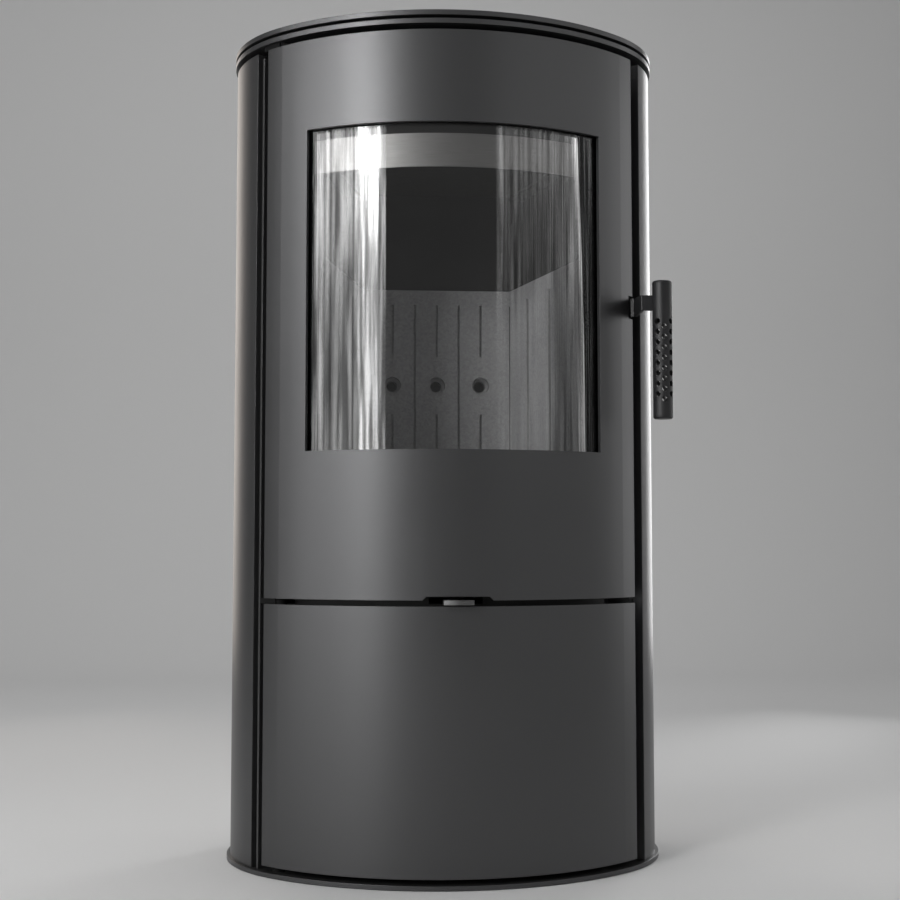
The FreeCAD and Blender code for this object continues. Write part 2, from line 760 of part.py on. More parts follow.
# Ash pan: a folded tray with a pull on its front
pan_low = ash_floor_high + runner_height + seat_clearance
pan_high = pan_low + pan_height
pan = block(-pan_half_width, pan_half_width, pan_front, pan_back, pan_low, pan_high)
pan_space = block(-pan_half_width + pan_sheet, pan_half_width - pan_sheet, pan_front + pan_sheet,
                  pan_back - pan_sheet, pan_low + pan_sheet, pan_high + overrun)
pan_pull = block(-pan_pull_half_width, pan_pull_half_width, pan_front - pan_pull_length, pan_front,
                 pan_high - pan_sheet, pan_high)
pan_lip = block(-pan_pull_half_width, pan_pull_half_width, pan_front - pan_pull_length,
                pan_front - pan_pull_length + pan_sheet, pan_high - pan_pull_drop, pan_high)
save("ash_pan", joined(pan.cut(pan_space), pan_pull, pan_lip))

# Flue collar bolted to the crown
collar_high = top_high + flue_rise
collar = joined(disc(0.0, flue_y, flue_bore_radius + flue_wall, crown_high, collar_high),
                disc(0.0, flue_y, flue_flange_radius, crown_high, crown_high + flue_flange))
collar = collar.cut(disc(0.0, flue_y, flue_bore_radius, crown_high - overrun, collar_high + overrun))
collar = collar.cut(flue_screw_holes(crown_high - overrun, crown_high + flue_flange + overrun))
save("flue_collar", collar)
flue_screws = []
for x, y in flue_screw_places:
    shank = disc(x, y, flue_screw_radius, crown_low, crown_high + flue_flange)
    head = disc(x, y, flue_screw_head_radius, crown_high + flue_flange,
                crown_high + flue_flange + flue_screw_head)
    flue_screws.append(joined(shank, head))
save("flue_collar_screws", group(flue_screws))

# Two top plates on spacers, held by bolts from inside the firebox
plate_hole_radius = flue_bore_radius + flue_wall + flue_plate_gap
spacer_bore = bolt_radius + bolt_clearance
save("lower_spacers", group(tube(x, y, spacer_radius, spacer_bore, crown_high, under_top_low)
                            for x, y in bolt_places))
flue_passage = disc(0.0, flue_y, plate_hole_radius, under_top_low - overrun, top_high + overrun)
under_top = plan_slab(0.0, under_top_low, under_top_high).cut(flue_passage)
save("under_top_plate", under_top.cut(bolt_holes(under_top_low - overrun, under_top_high + overrun)))
save("upper_spacers", group(tube(x, y, washer_radius, spacer_bore, under_top_high, top_low)
                            for x, y in bolt_places))
top = plan_slab(0.0, top_low, top_high).cut(flue_passage)
top = top.cut([disc(x, y, bolt_radius + running_fit, top_low - overrun, top_low + bolt_grip)
               for x, y in bolt_places])
save("top_plate", top)
bolts = []
for x, y in bolt_places:
    head = disc(x, y, bolt_head_radius, crown_low - bolt_head, crown_low)
    bolts.append(joined(head, disc(x, y, bolt_radius, crown_low, top_low + bolt_grip)))
save("top_plate_bolts", group(bolts))

# Fixed hinge plates and pins on the left
plate_low = lower_door_high + seat_clearance
plate_high = fire_door_low - seat_clearance
save("top_hinge_plate", hinge_plate(fire_door_high + seat_clearance, under_top_low))
save("middle_hinge_plate", hinge_plate(plate_low, plate_high))
save("upper_hinge_pin", disc(hinge.x, hinge.y, hinge_pin_radius,
                             fire_door_high - hinge_lug_height - hinge_pin_end, under_top_low))
save("middle_hinge_pin", disc(hinge.x, hinge.y, hinge_pin_radius,
                              lower_door_high - hinge_lug_height - hinge_pin_end,
                              fire_door_low + hinge_lug_height + hinge_pin_end))
pin_foot = disc(hinge.x, hinge.y, hinge_pin_radius, 0.0, lower_door_low + hinge_lug_height + hinge_pin_end)
pin_shoulder = disc(hinge.x, hinge.y, hinge_eye_radius, base_thickness, lower_door_low - seat_clearance)
save("lower_hinge_pin", joined(pin_foot, pin_shoulder))

# Magnet catch of the lower door, on the web of the right post
magnet_front = skin_back + magnet_gap
magnet_low = base_thickness + magnet_rise
magnet_angle = post_angle - turn_along(magnet_width)
magnet_back = magnet_front + magnet_depth
save("magnet_catch", curved_plate(magnet_front, magnet_back, magnet_angle, post_angle, magnet_low,
                                  magnet_low + magnet_height))

# Lower door: curved skin, two stiffening bars and its hinge lugs
save("lower_door_panel", curved_plate(skin_inset, skin_back, -door_edge_angle, door_edge_angle,
                                      lower_door_low, lower_door_high))
bar_lows = (lower_door_low + stiffener_margin, lower_door_high - stiffener_margin - stiffener_height)
save("lower_door_stiffeners", group(
    curved_plate(skin_back, skin_back + stiffener_depth, -stiffener_angle, stiffener_angle, low,
                 low + stiffener_height) for low in bar_lows))
save("lower_door_lugs", group([lug(lower_door_low, lower_door_low + hinge_lug_height),
                               lug(lower_door_high - hinge_lug_height, lower_door_high)]))

# Fire door skin: window, notch over the air lever and notch for the handle arm
fire_skin = curved_plate(skin_inset, skin_back, -door_edge_angle, door_edge_angle, fire_door_low,
                         fire_door_high)
window = curved_plate(-overrun, skin_back + overrun, -window_angle, window_angle, window_low, window_high)
notch_half_top = seam_notch_half_width - seam_notch_height
notch_corners = [(-seam_notch_half_width, 0.0), (seam_notch_half_width, 0.0),
                 (notch_half_top, seam_notch_height), (-notch_half_top, seam_notch_height)]
notch_ring = [point(x, -front_reach, fire_door_low + rise) for x, rise in notch_corners]
seam_notch = Part.Face(Part.makePolygon(notch_ring + notch_ring[:1])).extrude(point(0, front_reach, 0))
notch_low = arm_low - latch_notch_margin
notch_high = arm_high + latch_notch_margin
notch_angle = door_edge_angle - turn_along(latch_notch_depth)
arm_notch = curved_plate(-overrun, skin_back + overrun, notch_angle, door_edge_angle + turn_along(overrun),
                         notch_low, notch_high)
save("door_panel", fire_skin.cut([window, seam_notch, arm_notch]))

# Door inner frame: a curved ring with a groove for the rope seal
ring_low = fire_door_low + ring_bottom_margin
ring_high = crown_low - ring_bottom_margin
ring_back = skin_back + ring_depth
rope_angle = (ring_outer_angle - ring_inner_angle) * rope_side_share
rope_bar = ring_bar_height * rope_side_share
ring = curved_ring(skin_back, ring_back, ring_outer_angle, ring_inner_angle, ring_low, ring_high,
                   ring_bar_height, ring_bar_height)


def rope(front, back):
    """Rope seal in the middle of the ring's width."""
    height = ring_bar_height - 2 * rope_bar
    return curved_ring(front, back, ring_outer_angle - rope_angle, ring_inner_angle + rope_angle,
                       ring_low + rope_bar, ring_high - rope_bar, height, height)


save("door_inner_frame", ring.cut(rope(ring_back - groove_depth, ring_back + overrun)))
save("door_gasket", rope(ring_back - groove_depth, frame_inset - seat_clearance))

# Glass with its flat gasket, clips and studs
margin_angle = math.degrees(gasket_margin / front_radius)
width_angle = math.degrees(gasket_width / front_radius)
gasket_angle = window_angle + margin_angle
gasket_reach = gasket_margin + gasket_width
save("glass_gasket", curved_ring(skin_back + running_fit, glass_front, gasket_angle + width_angle,
                                 gasket_angle, window_low - gasket_reach, window_high + gasket_reach,
                                 gasket_width, gasket_width))
save("door_glass", curved_plate(glass_front, glass_back, -glass_angle, glass_angle, glass_low, glass_high))
clip_back = glass_back + clip_plate
clip_spread = math.degrees(clip_half_width / front_radius)
clips = []
studs = []
for angle in (-clip_angle, clip_angle):
    for edge, way in ((glass_low, -1), (glass_high, 1)):
        foot_low, foot_high = sorted((edge + way * clip_side_gap, edge + way * clip_foot))
        tongue_low, tongue_high = sorted((edge - way * clip_lap, edge + way * clip_foot))
        stud_z = (foot_low + foot_high) / 2
        left, right = angle - clip_spread, angle + clip_spread
        foot = curved_plate(skin_back, clip_back, left, right, foot_low, foot_high)
        tongue = curved_plate(glass_back, clip_back, left, right, tongue_low, tongue_high)
        stud_hole = local_rod(angle, stud_radius + running_fit, 0.0, clip_back + overrun, stud_z)
        clips.append(joined(foot, tongue).cut(stud_hole))
        nut_front = clip_back + running_fit
        shank = local_rod(angle, stud_radius, skin_back + running_fit, nut_front + nut_height, stud_z)
        studs.append(joined(shank, local_rod(angle, nut_radius, nut_front, nut_front + nut_height, stud_z)))
save("glass_clips", group(clips))
save("glass_clip_studs", group(studs))
save("door_hinge_lugs", group([lug(fire_door_low, fire_door_low + hinge_lug_height),
                               lug(fire_door_high - hinge_lug_height, fire_door_high)]))

# Latch bracket: two ears on the door with the pivot pin of the handle
ear_low = arm_low - seat_clearance - latch_ear_height
cam_low = arm_high
cam_high = cam_low + latch_cam_height
ear_high = cam_high + seat_clearance + latch_ear_height
knuckle_radius = hinge_depth - door_skin - seat_clearance
ears = [lug(ear_low, ear_low + latch_ear_height), lug(ear_high - latch_ear_height, ear_high)]
save("latch_bracket", group(mirrored(ear) for ear in ears))
save("handle_pivot_pin", disc(pivot.x, pivot.y, hinge_pin_radius, ear_low, ear_high))

# Handle arm: a flat bar bent out through the notch and forward to the grip
arm_inside = plan_point(arm_inner_angle, arm_inner_inset)
arm_outside = plan_point(arm_outer_angle, -arm_outer_proud)
arm_route = [pivot, arm_inside, arm_outside, point(arm_outside.x, grip_y), point(grip_x, grip_y)]
arm_bore = disc(pivot.x, pivot.y, pin_bore, arm_low - overrun, cam_high + overrun)
arm_bars = [disc(pivot.x, pivot.y, knuckle_radius, arm_low, arm_high)]
for first, last in zip(arm_route, arm_route[1:]):
    run = last - first
    bar = block(0.0, run.Length, -arm_plate / 2, arm_plate / 2, arm_low, arm_high)
    bar.rotate(point(0, 0), up, math.degrees(math.atan2(run.y, run.x)))
    bar.translate(first)
    arm_bars.append(bar)
for corner in arm_route[1:-1]:
    arm_bars.append(disc(corner.x, corner.y, arm_plate / 2, arm_low, arm_high))
arm = joined(*arm_bars)
arm_front = grip_y - arm_plate
arm_root_y = arm_outside.y
tip_high = arm_high - arm_tip_drop
tip_low = tip_high - arm_tip_height
arm_bend_y = grip_y + arm_plate
side_profile = [(half_width, arm_low), (arm_root_y, arm_low), (arm_bend_y, tip_low), (arm_front, tip_low),
                (arm_front, tip_high), (arm_bend_y, tip_high), (arm_root_y, arm_high), (half_width, arm_high)]
profile_ring = [point(0, y, z) for y, z in side_profile]
side_mask = Part.Face(Part.makePolygon(profile_ring + profile_ring[:1])).extrude(point(2 * half_width, 0, 0))
grip_space = disc(grip_x, grip_y, grip_radius, grip_low, grip_high)
save("handle_arm", arm.common(side_mask).cut([arm_bore, grip_space]))

# Latch cam on the same pin, beside the end of the front frame
frame_edge = plan_point(frame_edge_angle, frame_inset)
cam_turn = math.degrees(math.atan2(latch_cam_reach, frame_edge.x + latch_cam_side_gap + latch_cam_half_width
                                   - pivot.x))
cam_bar = block(0.0, latch_cam_reach, -latch_cam_half_width, latch_cam_half_width, cam_low, cam_high)
cam_bar.rotate(point(0, 0), up, cam_turn)
cam_bar.translate(pivot)
cam = joined(disc(pivot.x, pivot.y, knuckle_radius, cam_low, cam_high), cam_bar)
cam_keep = block(frame_edge.x + latch_cam_side_gap, half_width, -half_width, half_width, cam_low, cam_high)
save("latch_cam", cam.common(cam_keep).cut(arm_bore))

# Grip: a perforated tube with rounded end caps
tube_low = grip_low + grip_cap_height
tube_high = grip_high - grip_cap_height
grip = tube(grip_x, grip_y, grip_radius, grip_radius - grip_wall, tube_low, tube_high)
perforations = []
for half_row in range(2 * grip_hole_rows):
    z = grip_high - grip_hole_drop - half_row * grip_hole_pitch / 2
    for column in range(grip_hole_columns):
        turn = math.radians(column * 360.0 / grip_hole_columns + (45.0 if half_row % 2 == 0 else 0.0))
        way = point(math.sin(turn), -math.cos(turn))
        axis_point = point(grip_x, grip_y, z)
        perforations.append(Part.makeCylinder(grip_hole_radius, grip_radius + overrun, axis_point, way))
save("handle_grip", grip.cut(perforations))
caps = []
for face_z, way in ((tube_low, -1), (tube_high, 1)):
    disc_low = min(face_z, face_z + way * grip_cap_height)
    cap = disc(grip_x, grip_y, grip_radius, disc_low, disc_low + grip_cap_height)
    outer_z = face_z + way * grip_cap_height
    circles = [edge for edge in cap.Edges if edge.Curve.TypeId == "Part::GeomCircle"]
    rim = [edge for edge in circles if abs(edge.CenterOfMass.z - outer_z) < running_fit]
    cap = cap.makeFillet(min(grip_cap_height, grip_wall) - running_fit, rim)
    plug_low = min(face_z, face_z - way * grip_cap_height)
    plug = disc(grip_x, grip_y, grip_radius - grip_wall - running_fit, plug_low, plug_low + grip_cap_height)
    caps.append(joined(cap, plug))
save("grip_end_caps", group(caps))
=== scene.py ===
import math

import bpy
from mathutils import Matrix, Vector


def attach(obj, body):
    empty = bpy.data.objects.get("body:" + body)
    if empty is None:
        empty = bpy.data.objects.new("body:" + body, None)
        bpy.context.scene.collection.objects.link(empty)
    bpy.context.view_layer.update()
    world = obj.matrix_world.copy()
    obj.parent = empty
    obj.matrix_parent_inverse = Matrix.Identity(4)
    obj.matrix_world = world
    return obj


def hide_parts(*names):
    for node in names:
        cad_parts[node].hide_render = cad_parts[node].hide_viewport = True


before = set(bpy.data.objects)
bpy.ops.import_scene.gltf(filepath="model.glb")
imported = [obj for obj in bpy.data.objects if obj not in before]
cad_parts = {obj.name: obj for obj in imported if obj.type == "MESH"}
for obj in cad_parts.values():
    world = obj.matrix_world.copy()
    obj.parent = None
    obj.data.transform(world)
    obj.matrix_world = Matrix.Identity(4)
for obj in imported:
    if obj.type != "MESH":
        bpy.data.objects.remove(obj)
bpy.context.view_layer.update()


# Casing: base plate, posts, rolled side panels, rear panel, two top plates and the skins of both doors.
# All are cut and rolled steel plate, welded or screwed together and sprayed with one coat of metallic
# dark grey stove paint, which has a very fine grain and dries satin.
class Value:
    """One output of a material's nodes, which can be used in sums."""

    def __init__(self, look, socket):
        self.look = look
        self.socket = socket

    def sum_with(self, operation, first, second):
        return self.look.node("ShaderNodeMath", {"operation": operation}, {0: first, 1: second})

    def __add__(self, other):
        return self.sum_with("ADD", self, other)

    def __radd__(self, other):
        return self.sum_with("ADD", other, self)

    def __sub__(self, other):
        return self.sum_with("SUBTRACT", self, other)

    def __rsub__(self, other):
        return self.sum_with("SUBTRACT", other, self)

    def __mul__(self, other):
        return self.sum_with("MULTIPLY", self, other)

    def __rmul__(self, other):
        return self.sum_with("MULTIPLY", other, self)

    def __pow__(self, other):
        return self.sum_with("POWER", self, other)

    def between(self, low, high):
        """Zero below the first bound, one above the second and smooth in between."""
        return self.look.node("ShaderNodeMapRange", {"interpolation_type": "SMOOTHSTEP"},
                              {"Value": self, "From Min": low, "From Max": high})


class Look:
    """A material whose nodes are made one by one."""

    bevel_samples = 4

    def __init__(self, name):
        self.material = bpy.data.materials.new(name)
        self.material.use_nodes = True
        self.tree = self.material.node_tree
        self.tree.nodes.clear()

    def node(self, kind, settings, inputs, output=0):
        """Makes one node with these settings and inputs, and gives one of its outputs."""
        made = self.tree.nodes.new(kind)
        for name, setting in settings.items():
            setattr(made, name, setting)
        for name, given in inputs.items():
            if isinstance(given, Value):
                self.tree.links.new(given.socket, made.inputs[name])
            else:
                made.inputs[name].default_value = given
        if made.outputs:
            return Value(self, made.outputs[output])

    def place(self):
        """Where a point lies on its own piece, in metres."""
        return self.node("ShaderNodeTexCoord", {}, {}, "Object")

    def coordinate(self, place, axis):
        """One coordinate of a place, in metres."""
        return self.node("ShaderNodeSeparateXYZ", {}, {0: place}, axis)

    def noise(self, place, scale, detail=2.0):
        """Soft random mottling with this many patches to the metre, from zero to one."""
        inputs = {"Vector": place, "Scale": scale, "Detail": detail}
        return self.node("ShaderNodeTexNoise", {}, inputs, "Fac")

    def brush(self, place, scales, detail=2.0):
        """Mottling with its own number of patches to the metre along each axis, from zero to one."""
        stretched = self.node("ShaderNodeVectorMath", {"operation": "MULTIPLY"}, {0: place, 1: scales})
        return self.noise(stretched, 1.0, detail)

    def blend(self, share, first, second):
        """Colour between the first, at a share of zero, and the second, at one."""
        return self.node("ShaderNodeMix", {"data_type": "RGBA"}, {"Factor": share, 6: first, 7: second}, 2)

    def bump(self, height, depth, edge_radius=0.0):
        """Surface normal with this relief, its edges rounded by the radius."""
        inputs = {"Height": height, "Distance": depth}
        if edge_radius:
            rounding = {"samples": self.bevel_samples}
            inputs["Normal"] = self.node("ShaderNodeBevel", rounding, {"Radius": edge_radius})
        return self.node("ShaderNodeBump", {}, inputs)

    def surface(self, inputs):
        """Ends the nodes in one shader."""
        shader = self.node("ShaderNodeBsdfPrincipled", {}, inputs)
        self.node("ShaderNodeOutputMaterial", {}, {"Surface": shader})
        return self.material


def paint_nodes(material, names):
    """Gives CAD nodes this material."""
    for name in names:
        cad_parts[name].material_slots[0].material = material


paint_dark = (0.080, 0.080, 0.082, 1.0)
paint_pale = (0.100, 0.100, 0.102, 1.0)
paint_metal_share = 0.85
paint_grain_scale = 1500.0
paint_grain_share = 0.7
paint_grain_depth = 0.00003
paint_cloud_scale = 9.0
paint_cloud_detail = 4.0
paint_cloud_share = 0.3
paint_roughness = 0.33
paint_grain_roughness = 0.06
paint_cloud_roughness = 0.05
paint_edge_radius = 0.0009
paint_look = Look("stove paint")
paint_place = paint_look.place()
paint_grain = paint_look.noise(paint_place, paint_grain_scale)
paint_cloud = paint_look.noise(paint_place, paint_cloud_scale, paint_cloud_detail)
paint_tone = paint_grain * paint_grain_share + paint_cloud * paint_cloud_share
paint_unevenness = paint_roughness + paint_grain_roughness * paint_grain
stove_paint = paint_look.surface({
    "Base Color": paint_look.blend(paint_tone, paint_dark, paint_pale),
    "Metallic": paint_metal_share,
    "Roughness": paint_unevenness + paint_cloud_roughness * paint_cloud,
    "Normal": paint_look.bump(paint_grain, paint_grain_depth, paint_edge_radius)})
paint_nodes(stove_paint, [
    "base_plate", "left_post", "right_post", "left_side_panel", "right_side_panel", "rear_panel",
    "under_top_plate", "top_plate", "flue_collar", "upper_spacers", "lower_spacers", "magnet_catch",
    "store_liner", "door_panel", "door_inner_frame", "lower_door_panel", "lower_door_stiffeners"])

# Firebox: a welded box of heavier steel plate with the air box and ash floor under it, the front frame
# round the fire opening, the air duct, the valve plate, the baffle's rails and the ash pan. It is left in
# plain heat-proof paint, a little burnt and sooty on the inside.
firebox_dark = (0.012, 0.0115, 0.011, 1.0)
firebox_pale = (0.036, 0.035, 0.034, 1.0)
firebox_metal_share = 0.2
firebox_soot_scale = 14.0
firebox_soot_detail = 5.0
firebox_soot_shares = (0.35, 0.7)
firebox_grain_scale = 700.0
firebox_relief = 0.0001
firebox_roughness = 0.55
firebox_soot_roughness = 0.25
firebox_edge_radius = 0.0006
firebox_look = Look("firebox steel")
firebox_place = firebox_look.place()
firebox_mottling = firebox_look.noise(firebox_place, firebox_soot_scale, firebox_soot_detail)
firebox_soot = firebox_mottling.between(*firebox_soot_shares)
firebox_grain = firebox_look.noise(firebox_place, firebox_grain_scale)
firebox_steel = firebox_look.surface({
    "Base Color": firebox_look.blend(firebox_soot, firebox_dark, firebox_pale),
    "Metallic": firebox_metal_share,
    "Roughness": firebox_roughness + firebox_soot_roughness * firebox_soot,
    "Normal": firebox_look.bump(firebox_grain, firebox_relief, firebox_edge_radius)})
paint_nodes(firebox_steel, ["air_box", "ash_floor", "firebox_shell", "firebox_floor", "front_frame",
                            "rear_air_duct", "firebox_top", "air_valve_plate", "ash_pan", "baffle_rails"])

# Air-wash deflector: a bare steel strip bent to the curve of the door and welded to the front frame,
# which leads the air down over the glass. It stays pale grey behind the upper edge of the window.
deflector_dark = (0.26, 0.255, 0.25, 1.0)
deflector_pale = (0.36, 0.355, 0.35, 1.0)
deflector_metal_share = 0.6
deflector_brush_scales = (40.0, 40.0, 900.0)
deflector_relief = 0.00005
deflector_roughness = 0.36
deflector_brush_roughness = 0.1
deflector_look = Look("deflector steel")
deflector_brush = deflector_look.brush(deflector_look.place(), deflector_brush_scales)
deflector_steel = deflector_look.surface({
    "Base Color": deflector_look.blend(deflector_brush, deflector_dark, deflector_pale),
    "Metallic": deflector_metal_share,
    "Roughness": deflector_roughness + deflector_brush_roughness * deflector_brush,
    "Normal": deflector_look.bump(deflector_brush, deflector_relief)})
paint_nodes(deflector_steel, ["air_wash_deflector"])

# Grate: one grey iron casting with long slots, dropped into the firebox floor between the bricks.
# It has the rough skin of sand casting and takes on a thin film of ash.
grate_dark = (0.030, 0.029, 0.028, 1.0)
grate_ash = (0.11, 0.10, 0.095, 1.0)
grate_metal_share = 0.3
grate_skin_scale = 400.0
grate_skin_detail = 4.0
grate_relief = 0.0003
grate_film_scale = 30.0
grate_film_detail = 3.0
grate_film_shares = (0.45, 0.8)
grate_roughness = 0.6
grate_skin_roughness = 0.2
grate_look = Look("grate iron")
grate_place = grate_look.place()
grate_skin = grate_look.noise(grate_place, grate_skin_scale, grate_skin_detail)
grate_film = grate_look.noise(grate_place, grate_film_scale, grate_film_detail).between(*grate_film_shares)
grate_iron = grate_look.surface({
    "Base Color": grate_look.blend(grate_film, grate_dark, grate_ash),
    "Metallic": grate_metal_share,
    "Roughness": grate_roughness + grate_skin_roughness * grate_skin,
    "Normal": grate_look.bump(grate_skin, grate_relief)})
paint_nodes(grate_iron, ["grate"])

# Linings, floor bricks and baffle: boards of pressed vermiculite, the upright ones cut with long slits and
# stood loose against the firebox walls. The pressed flakes make a grey speckled face, and smoke blackens
# the baffle. The slits and the gaps in the rear corners are coloured near black as painted shade.
brick_dark = (0.34, 0.34, 0.342, 1.0)
brick_pale = (0.54, 0.54, 0.545, 1.0)
brick_black = (0.05, 0.048, 0.045, 1.0)
brick_flake_scale = 420.0
brick_flake_share = 0.45
brick_relief = 0.0004
brick_cloud_scale = 12.0
brick_cloud_detail = 3.0
brick_cloud_share = 0.55
brick_roughness = 0.82
brick_flake_roughness = 0.12
brick_soot_low = 0.70
brick_soot_high = 0.80
slit_painted_shade_share = 0.85
slit_places = (0.048, -0.025)
slit_half_width = 0.0033
slit_fade = 0.0004
slit_low = 0.4255
slit_high = 0.664
corner_low = 0.0928
corner_high = 0.0946
corner_front = 0.100
corner_back = 0.104
brick_look = Look("firebrick")
brick_place = brick_look.place()
brick_across = brick_look.coordinate(brick_place, "X")
brick_depth = brick_look.coordinate(brick_place, "Y")
brick_height = brick_look.coordinate(brick_place, "Z")
brick_cells = {"Vector": brick_place, "Scale": brick_flake_scale}
brick_flakes = brick_look.node("ShaderNodeTexVoronoi", {}, brick_cells, "Color")
brick_flake_tone = brick_look.node("ShaderNodeSeparateColor", {}, {"Color": brick_flakes})
brick_cloud = brick_look.noise(brick_place, brick_cloud_scale, brick_cloud_detail)
brick_tone = brick_flake_tone * brick_flake_share + brick_cloud * brick_cloud_share
brick_clean = brick_look.blend(brick_tone, brick_dark, brick_pale)
brick_soot_and_painted_shade = brick_height.between(brick_soot_low, brick_soot_high)
# Painted shade: the colour goes towards black inside the slits, standing in for the shade that falls
# there.
in_slit_height = brick_height.between(slit_low, slit_low + slit_fade) * (
    1.0 - brick_height.between(slit_high - slit_fade, slit_high))
for slit_y in slit_places:
    slit_front = slit_y - slit_half_width
    slit_back = slit_y + slit_half_width
    in_slit = brick_depth.between(slit_front - slit_fade, slit_front) * (
        1.0 - brick_depth.between(slit_back, slit_back + slit_fade))
    brick_soot_and_painted_shade = brick_soot_and_painted_shade + slit_painted_shade_share * in_slit * in_slit_height
# Painted shade in the gaps at the rear corners, drawn the same way as in the slits.
brick_aside = brick_look.node("ShaderNodeMath", {"operation": "ABSOLUTE"}, {0: brick_across})
in_corner = brick_aside.between(corner_low, corner_low + slit_fade) * (
    1.0 - brick_aside.between(corner_high - slit_fade, corner_high))
at_back = brick_depth.between(corner_front, corner_back)
brick_soot_and_painted_shade = brick_soot_and_painted_shade + slit_painted_shade_share * in_corner * at_back * in_slit_height
firebrick = brick_look.surface({
    "Base Color": brick_look.blend(brick_soot_and_painted_shade, brick_clean, brick_black),
    "Roughness": brick_roughness + brick_flake_roughness * brick_flake_tone,
    "Normal": brick_look.bump(brick_flake_tone, brick_relief)})
paint_nodes(firebrick, ["rear_lining", "left_lining", "right_lining", "front_floor_brick",
                        "rear_floor_brick", "side_floor_bricks", "baffle_brick"])

# Window: one bent sheet of ceramic glass, held behind the door skin by clips. It is clear with a slight
# smoky tint, and both faces reflect like a dark mirror.
glass_ior = 1.52
glass_tint = (0.93, 0.93, 0.93, 1.0)
glass_shine_dim = (0.9, 0.9, 0.9, 1.0)
glass_shine_full = (1.0, 1.0, 1.0, 1.0)
glass_mirror_share = 1.0
glass_cloud_scale = 7.0
glass_look = Look("window glass")
glass_cloud = glass_look.noise(glass_look.place(), glass_cloud_scale)
glass_clear = glass_look.node("ShaderNodeBsdfTransparent", {}, {"Color": glass_tint})
glass_shine = glass_look.node("ShaderNodeBsdfPrincipled", {}, {
    "Base Color": glass_look.blend(glass_cloud, glass_shine_dim, glass_shine_full),
    "Metallic": glass_mirror_share,
    "Roughness": 0.0})
glass_fresnel = glass_look.node("ShaderNodeFresnel", {}, {"IOR": glass_ior})
glass_mix = glass_look.node("ShaderNodeMixShader", {}, {0: glass_fresnel, 1: glass_clear, 2: glass_shine})
glass_look.node("ShaderNodeOutputMaterial", {}, {"Surface": glass_mix})
paint_nodes(glass_look.material, ["door_glass"])

# Seals: a braided glass-fibre rope glued into the groove of the door's inner frame, and a flat woven tape
# between the door skin and the window glass. Both are dyed black and follow the curve of the door.
door_centre_y = 0.0908
door_radius = 0.2908


def rounded_loop(half_width, low, high, corner, step):
    """Evenly spaced points round an upright rectangle with rounded corners, as pairs across and up."""
    middle = (low + high) / 2
    straight_x = half_width - corner
    straight_z = (high - low) / 2 - corner
    corners = ((straight_x, -straight_z), (straight_x, straight_z),
               (-straight_x, straight_z), (-straight_x, -straight_z))
    quarter_turn = 90.0
    arc_steps = 8
    dense = []
    for quarters, (x, z) in enumerate(corners, -1):
        for index in range(arc_steps + 1):
            turn = math.radians(quarter_turn * (quarters + index / arc_steps))
            dense.append(Vector((x + corner * math.cos(turn), middle + z + corner * math.sin(turn))))
    loop = []
    for here, there in zip(dense, dense[1:] + dense[:1]):
        pieces = max(1, round((there - here).length / step))
        loop.extend(here.lerp(there, index / pieces) for index in range(pieces))
    return loop


def swept_seal(name, loop, radius, outline):
    """Closed tube along the loop on the door's curve.

    outline(turn, distance) gives the offsets of a point across the tube and into the door."""
    around = 16
    verts = []
    faces = []
    distance = 0.0
    count = len(loop)
    for index, point in enumerate(loop):
        after = (index + 1) % count
        ahead = loop[after] - loop[index - 1]
        along = ahead.normalized()
        for side in range(around):
            across, deep = outline(math.tau * side / around, distance)
            flat_x = point.x + along.y * across
            height = point.y - along.x * across
            bend = flat_x / radius
            reach = radius - deep
            verts.append((reach * math.sin(bend), door_centre_y - reach * math.cos(bend), height))
            next_side = (side + 1) % around
            faces.append((index * around + side, after * around + side, after * around + next_side,
                          index * around + next_side))
        distance += ahead.length / 2
    mesh = bpy.data.meshes.new(name)
    mesh.from_pydata(verts, [], faces)
    mesh.shade_smooth()
    piece = bpy.data.objects.new(name, mesh)
    bpy.context.collection.objects.link(piece)
    return piece


seal_dark = (0.012, 0.012, 0.013, 1.0)
seal_pale = (0.045, 0.044, 0.043, 1.0)
seal_thread_scale = 900.0
seal_thread_detail = 4.0
seal_relief = 0.0004
seal_wear_scale = 25.0
seal_wear_detail = 3.0
seal_wear_gain = 1.6
seal_roughness = 0.8
seal_thread_roughness = 0.15
seal_look = Look("black glass-fibre braid")
seal_place = seal_look.place()
seal_threads = seal_look.noise(seal_place, seal_thread_scale, seal_thread_detail)
seal_wear = seal_look.noise(seal_place, seal_wear_scale, seal_wear_detail)
seal_braid = seal_look.surface({
    "Base Color": seal_look.blend(seal_threads * seal_wear * seal_wear_gain, seal_dark, seal_pale),
    "Roughness": seal_roughness + seal_thread_roughness * seal_threads,
    "Normal": seal_look.bump(seal_threads, seal_relief)})

rope_depth = 0.0188
rope_edge_angle = 39.41
rope_low = 0.3135
rope_high = 0.892
rope_corner = 0.006
rope_step = 0.0018
rope_half_width = 0.0034
rope_half_depth = 0.0055
rope_strands = 6
rope_pitch = 0.014
rope_relief_share = 0.1
rope_radius = door_radius - rope_depth
rope_reach = math.radians(rope_edge_angle) * rope_radius


def rope_outline(turn, distance):
    """Oval section of a rope with two crossing sets of strands."""
    lay = math.tau * distance / rope_pitch
    right_hand = abs(math.sin(rope_strands / 2 * turn + lay))
    left_hand = abs(math.sin(rope_strands / 2 * turn - lay))
    size = 1.0 - rope_relief_share * (1.0 - max(right_hand, left_hand))
    return rope_half_width * size * math.cos(turn), rope_half_depth * size * math.sin(turn)


rope_loop = rounded_loop(rope_reach, rope_low, rope_high, rope_corner, rope_step)
rope_seal = swept_seal("door_rope_seal", rope_loop, rope_radius, rope_outline)
rope_seal.data.materials.append(seal_braid)
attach(rope_seal, "fire_door")
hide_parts("door_gasket")

